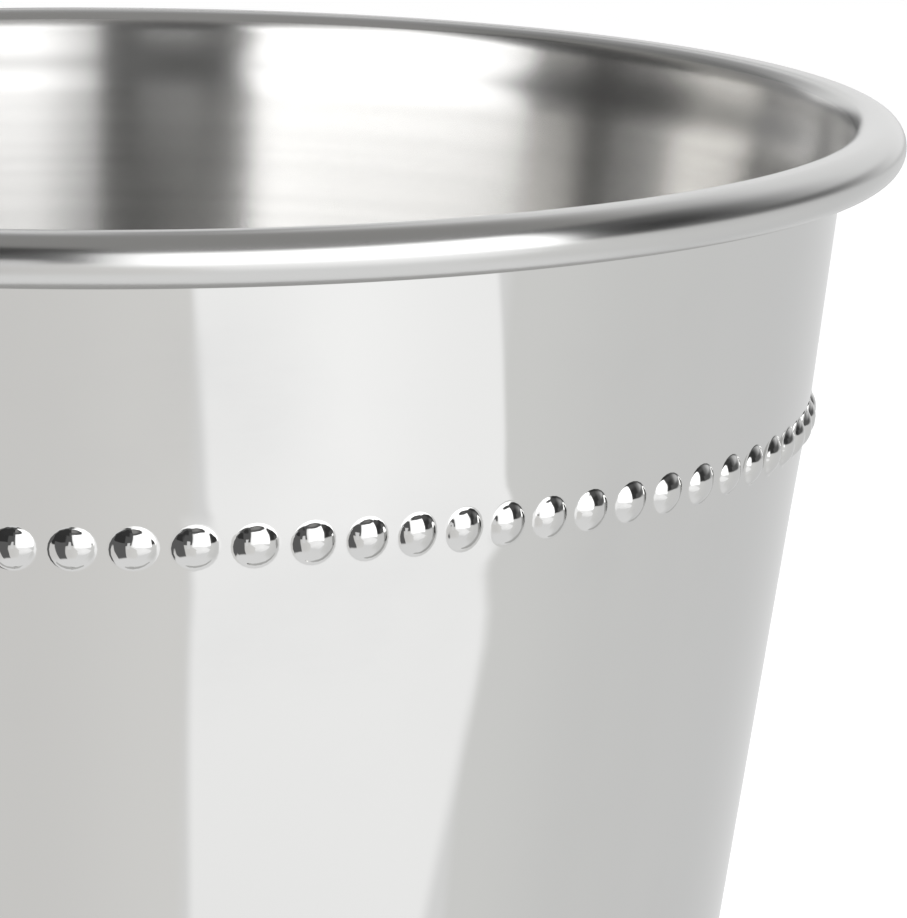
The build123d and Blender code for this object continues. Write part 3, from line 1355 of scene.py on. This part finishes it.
@dataclass(frozen=True)
class Studio:
    """White floor, plain soft light, and the panels and dark gaps that the steel mirrors."""

    table: tuple[tuple[float, Colour], ...] = (
        (-14.0, (0.880, 0.870, 0.855)),
        (14.0, (0.945, 0.937, 0.920)),
        (68.0, (0.903, 0.903, 0.890)),
        (96.0, (0.843, 0.843, 0.836)),
        (112.0, (0.826, 0.826, 0.822)),
        (142.0, (0.775, 0.777, 0.777)),
    )
    horizon: Point = (-7.0, -2.0)
    overhead: Point = (38.0, 48.0)
    again_depth: Point = (2.2, 2.8)
    third_depth: Point = (3.2, 3.8)
    white: Colour = (1.0, 1.0, 1.0)
    even: Colour = (0.95, 0.95, 0.95)
    even_strength: float = 0.6
    floor_radius: float = 6.0
    floor_sides: int = 96
    floor_grain: float = 40.0
    floor_tints: tuple[Colour, Colour] = ((0.86, 0.86, 0.86), (0.88, 0.88, 0.88))
    floor_lift: float = 0.37
    lamp_place: tuple[float, float, float] = (0.5, -0.4, 1.2)
    lamp_aim: tuple[float, float, float] = (0.0, 0.0, 0.05)
    lamp_size: float = 0.8
    lamp_energy: float = 9.0
    room: Colour = (0.11, 0.11, 0.11)
    ceiling: Colour = (0.345, 0.341, 0.334)
    card_near: tuple[float, float, float] = (-0.0294, -0.0393, 0.1435)
    card_far: tuple[float, float, float] = (-0.0290, 0.0177, 0.1435)
    card_height: float = 0.063
    card_glow: float = 2.15
    panels: tuple[Panel, ...] = (
        Panel(118.0, 400.0, -4.0, 46.0, 0.93, 50.0, 3.0, 4.0, 30.0),
        Panel(175.0, 400.0, 18.0, 60.0, 0.38, 4.0, 3.0, 8.0, 10.0),
        Panel(-400.0, -150.0, 10.0, 60.0, 0.38, 3.0, 10.0, 8.0, 10.0),
        Panel(-400.0, -150.0, 10.0, 22.0, 0.93, 3.0, 10.0, 8.0, 20.0),
        Panel(-400.0, -173.0, 10.0, 46.0, 0.93, 3.0, 10.0, 8.0, 30.0),
        Panel(-150.0, -132.0, -4.0, 62.0, 0.24, 6.0, 4.0),
        Panel(-132.0, -114.0, -4.0, 62.0, (0.30, 0.295, 0.28), 4.0, 4.0),
        Panel(-114.0, -1.0, -2.0, 56.0, 0.045, 4.0, 3.0, 3.0, 8.0),
        Panel(-87.0, -74.0, -2.0, 40.0, 0.14, 6.0, 3.0, 3.0, 8.0),
        Panel(-27.0, -1.0, -2.0, 44.0, 0.13, 6.0, 3.0, 3.0, 8.0),
        Panel(15.0, 66.0, -60.0, -12.0, 0.98),
        Panel(-400.0, 400.0, -95.0, -50.0, 1.0, 3.0, 3.0, 3.0, 20.0),
        Panel(-64.0, -24.0, -52.0, 7.0, 0.15, 4.0, 4.0, 8.0, 3.0),
        Panel(-17.0, -7.0, -18.0, 8.0, 0.95),
        Panel(12.3, 74.8, -36.0, -26.2, 1.25, 2.2, 3.0, 12.0, 1.5, -0.5, 2.1),
        Panel(15.6, 67.3, -27.4, -22.8, 1.27, 2.2, 1.8, 1.5, 1.0, -1.4, 0.0),
        Panel(15.6, 73.0, -23.9, -12.0, 1.28, 2.2, 1.6, 1.0, 3.0, -1.4, -3.1),
        Panel(30.0, 50.0, -28.0, -12.0, 1.36, 22.0, 26.0, 6.0, 3.0),
        Panel(-0.4, 12.0, -12.0, 35.5, 1.30, 3.0, 3.0, 6.0, 6.0),
        Panel(6.0, 67.0, -12.0, 35.5, 2.3, 12.0, 5.0, 6.0, 4.0),
        Panel(-56.0, -11.0, 30.0, 58.0, 0.05, 4.0, 8.0, 6.0, 6.0),
        Panel(72.0, 94.0, -3.0, 25.0, 0.05, 5.0, 12.0, 6.0, 10.0),
        Panel(86.0, 136.0, -3.0, 8.0, 0.13, 8.0, 44.0, 4.0, 6.0),
    )
    deep_table: Colour = (0.70, 0.70, 0.69)
    deep_room: Colour = (0.04, 0.04, 0.04)
    deep_ceiling: Colour = (0.22, 0.22, 0.22)
    deep_panels: tuple[Panel, ...] = (
        Panel(152.0, 400.0, -4.0, 95.0, 0.07, 14.0, 3.0, 6.0, 3.0),
        Panel(10.0, 36.0, -4.0, 95.0, (2.3, 2.26, 2.19), 6.0, 4.0, 6.0, 3.0),
        Panel(32.0, 127.0, -4.0, 95.0, (2.85, 2.85, 2.83), 4.0, 8.0, 6.0, 3.0),
        Panel(-76.0, -33.0, -4.0, 95.0, (3.6, 3.54, 3.43), 16.0, 3.0, 6.0, 3.0),
        Panel(-124.0, -86.0, -4.0, 95.0, (1.0, 0.99, 0.97), 8.0, 6.0, 6.0, 3.0),
        Panel(-163.0, -140.0, 14.0, 95.0, (1.40, 1.40, 1.38), 16.0, 10.0, 6.0, 3.0),
    )
    third_table: Colour = (0.05, 0.05, 0.05)
    third_panels: tuple[Panel, ...] = (
        Panel(-16.0, 34.0, -95.0, 95.0, (0.8, 0.8, 0.79), 12.0, 8.0),
        Panel(106.0, 400.0, -95.0, 95.0, (0.8, 0.8, 0.79), 12.0, 3.0),
        Panel(-400.0, -70.0, -95.0, 95.0, (0.8, 0.8, 0.79), 3.0, 12.0),
    )

    def world(self) -> None:
        """Make the world: white to the camera, even to the floor, a studio to metal."""
        world = bpy.data.worlds.new("studio")
        bpy.context.scene.world = world
        world.use_nodes = True
        graph = Graph(world.node_tree)
        path = graph.node("ShaderNodeLightPath", {}, {}, "Is Camera Ray")
        azimuth, level = self._direction(graph)
        table: Feed = self.table[0][1]
        for before, after in zip(self.table, self.table[1:]):
            table = graph.mix(azimuth.rise(before[0], after[0]), table, after[1])
        once = self._view(graph, azimuth, level, (table, self.room, self.ceiling), self.panels)
        deep = (self.deep_table, self.deep_room, self.deep_ceiling)
        again = self._view(graph, azimuth, level, deep, self.deep_panels)
        third = self._view(graph, azimuth, level, (self.third_table, *deep[1:]), self.third_panels)
        depth = path.other("Ray Depth")
        again = graph.mix(depth.rise(*self.third_depth), again, third)
        mirrored = graph.mix(depth.rise(*self.again_depth), once, again)
        studio = self._background(graph, mirrored)
        white = self._background(graph, self.white)
        even = self._background(graph, self.even, self.even_strength)
        metal = graph.maths("MAXIMUM", path.other("Is Glossy Ray"), path.other("Is Transmission Ray"))
        seen = graph.node("ShaderNodeMixShader", {}, {0: metal, 1: even, 2: studio})
        final = graph.node("ShaderNodeMixShader", {}, {0: path, 1: seen, 2: white})
        graph.node("ShaderNodeOutputWorld", {}, {"Surface": final})

    @staticmethod
    def _background(graph: Graph, colour: Feed, strength: float = 1.0) -> Flow:
        """Background shader of a colour or link."""
        inputs = {"Color": graph.colour(colour), "Strength": strength}
        return graph.node("ShaderNodeBackground", {}, inputs)

    @staticmethod
    def _direction(graph: Graph) -> tuple[Flow, Flow]:
        """Direction that a ray leaves in.

        Args:
            graph: World tree.

        Returns:
            Azimuth from the camera's side and elevation, in degrees.
        """
        ray = graph.node("ShaderNodeTexCoord", {}, {}, "Generated")
        east = graph.node("ShaderNodeSeparateXYZ", {}, {0: ray}, "X")
        azimuth = graph.maths("ARCTAN2", east, -east.other("Y")) * math.degrees(1.0)
        return azimuth, graph.maths("ARCSINE", east.other("Z")) * math.degrees(1.0)

    def _view(
        self, graph: Graph, azimuth: Flow, level: Flow, plain: Sequence[Feed], panels: Sequence[Panel]
    ) -> Flow:
        """Colour of the studio in each direction.

        Args:
            graph: World tree.
            azimuth: Degrees round from the camera.
            level: Degrees above the horizon.
            plain: Colours below the horizon, above it and overhead.
            panels: Panels from the farthest to the nearest.

        Returns:
            The colour.
        """
        colour = graph.mix(level.rise(*self.horizon), plain[0], plain[1])
        colour = graph.mix(level.rise(*self.overhead), colour, plain[2])
        for panel in panels:
            colour = graph.mix(self._mask(panel, azimuth, level), colour, panel.colour)
        return colour

    @staticmethod
    def _mask(panel: Panel, azimuth: Flow, level: Flow) -> Flow:
        """Share of a panel in each direction, soft at its edges.

        Args:
            panel: Panel of the studio.
            azimuth: Degrees round from the camera.
            level: Degrees above the horizon.

        Returns:
            Mask from 0 to 1.
        """
        rise = level - panel.pivot
        from_west = azimuth - panel.lean_west * rise if panel.lean_west else azimuth
        from_east = azimuth - panel.lean_east * rise if panel.lean_east else azimuth
        mask = Studio._edge(from_west, panel.west, panel.soft_west)
        mask = mask * (1.0 - Studio._edge(from_east, panel.east, panel.soft_east))
        mask = mask * Studio._edge(level, panel.low, panel.soft_low)
        return mask * (1.0 - Studio._edge(level, panel.high, panel.soft_high))

    @staticmethod
    def _edge(value: Flow, place: float, soft: float) -> Flow:
        """Soft step at one edge of a panel."""
        return value.rise(place - soft / 2, place + soft / 2)

    def floor(self) -> None:
        """Lay a wide pale floor that the camera sees as white, with the cup's shadow on it."""
        Bench.clear()
        bpy.ops.mesh.primitive_circle_add(
            vertices=self.floor_sides, radius=self.floor_radius, fill_type="NGON"
        )
        floor = Bench.take("studio_floor")
        material, graph = new_material("pale_floor")
        path = graph.node("ShaderNodeLightPath", {}, {}, "Is Camera Ray")
        tint = graph.mix(graph.noise(graph.place(), self.floor_grain, detail=2.0), *self.floor_tints)
        paint = graph.node("ShaderNodeBsdfDiffuse", {}, {"Color": tint})
        lift = graph.node("ShaderNodeEmission", {}, {"Strength": self.floor_lift})
        both = graph.node("ShaderNodeAddShader", {}, {0: paint, 1: lift})
        seen = graph.node("ShaderNodeMixShader", {}, {0: path, 1: paint, 2: both})
        graph.node("ShaderNodeOutputMaterial", {}, {"Surface": seen})
        floor.data.materials.append(material)
        floor.visible_glossy = False

    def lamp(self) -> None:
        """Hang one broad soft lamp that lays the cup's shadow on the floor."""
        Bench.clear()
        bpy.ops.object.light_add(type="AREA", location=self.lamp_place)
        lamp = bpy.context.active_object
        lamp.name = "soft_lamp"
        lamp.data.shape = "DISK"
        lamp.data.size = self.lamp_size
        lamp.data.energy = self.lamp_energy
        aim = Vector(self.lamp_aim) - lamp.location
        lamp.rotation_euler = aim.to_track_quat("-Z", "Y").to_euler()
        lamp.visible_glossy = False

    def card(self) -> None:
        """Stand a glowing card beside the mouth, which lights the left of the cup's inside."""
        Bench.clear()
        bpy.ops.object.light_add(type="AREA")
        card = bpy.context.active_object
        card.name = "mouth_card"
        near, far = Vector(self.card_near), Vector(self.card_far)
        along = (far - near).normalized()
        facing = along.cross(Vector((0.0, 0.0, 1.0)))
        card.data.shape = "RECTANGLE"
        card.data.size = (far - near).length
        card.data.size_y = self.card_height
        card.data.energy = self.card_glow * math.pi * card.data.size * card.data.size_y
        turn = Matrix((along, facing.cross(along), -facing)).transposed().to_4x4()
        card.matrix_world = Matrix.Translation((near + far) / 2) @ turn
        card.visible_camera = False
        card.visible_diffuse = False

    def make(self) -> None:
        """Set the whole studio up."""
        self.world()
        self.floor()
        self.lamp()
        self.card()
        LOG.info("studio: %d panels", len(self.panels))


@dataclass(frozen=True)
class PhotoCamera:
    """Camera at the photograph's place, solved from the rim's ellipse and the wall's outline."""

    place: tuple[float, float, float] = (0.0, -0.32708, 0.15636)
    yaw: float = 0.06067
    pitch: float = 0.1995
    roll: float = 0.01041
    focal_pixels: float = 5981.9
    frame_pixels: float = 918.0
    sensor: float = 36.0
    clip: Point = (0.01, 50.0)

    def make(self) -> None:
        """Add the camera and make it the scene's own."""
        ahead = Vector((
            math.sin(self.yaw) * math.cos(self.pitch),
            math.cos(self.yaw) * math.cos(self.pitch),
            -math.sin(self.pitch),
        ))
        level = Vector((math.cos(self.yaw), -math.sin(self.yaw), 0.0))
        upward = level.cross(ahead)
        right = math.cos(self.roll) * level + math.sin(self.roll) * upward
        top = -math.sin(self.roll) * level + math.cos(self.roll) * upward
        turn = Matrix((right, top, -ahead)).transposed().to_4x4()
        Bench.clear()
        bpy.ops.object.camera_add()
        camera = bpy.context.active_object
        camera.name = "photo_camera"
        camera.matrix_world = Matrix.Translation(self.place) @ turn
        camera.data.sensor_width = self.sensor
        camera.data.sensor_fit = "AUTO"
        camera.data.lens = self.focal_pixels / self.frame_pixels * self.sensor
        camera.data.clip_start, camera.data.clip_end = self.clip
        bpy.context.scene.camera = camera
        LOG.info("camera: lens %.1f mm", camera.data.lens)


@dataclass(frozen=True)
class RimWire:
    """Wire inside the rolled rim, which keeps its CAD node."""

    node: str = "rim_wire"
    finish: SatinSteel = SatinSteel("drawn_wire", (0.62, 0.62, 0.61), (0.50, 0.50, 0.49), 0.30, 0.15, 900.0)

    def make(self) -> None:
        """Dress the CAD node."""
        wire = bpy.data.objects[self.node]
        wire.data.materials.clear()
        wire.data.materials.append(self.finish.material())
        LOG.info("%s: CAD node dressed", self.node)


def main() -> None:
    """Build the cup piece by piece, then the studio and the camera."""
    logging.basicConfig(level=logging.INFO, format="%(name)s %(message)s")
    bpy.context.scene.view_settings.view_transform = "Standard"
    sizes = CupSizes()
    floor_finish = BrushedSteel(name="brushed_floor", flat_lay=True)
    solder_finish = SatinSteel("floor_solder", (0.66, 0.66, 0.65), (0.56, 0.56, 0.55), 0.22, 0.14, 500.0)
    RimWire().make()
    CupWall(sizes, "wall", "cup_wall", SteelPart.POLISHED).make()
    FloorPan(sizes, "floor_pan", "base_pan", SteelPart.BRUSHED, finish=floor_finish).make()
    FloorSolder(sizes, "seal", "floor_solder", SteelPart.SOLDER, finish=solder_finish).make()
    FootRing(sizes, "foot", "foot_ring", SteelPart.POLISHED, finish=MirrorSteel("mirror_foot")).make()
    Studio().make()
    PhotoCamera().make()


if __name__ == "__main__":
    main()
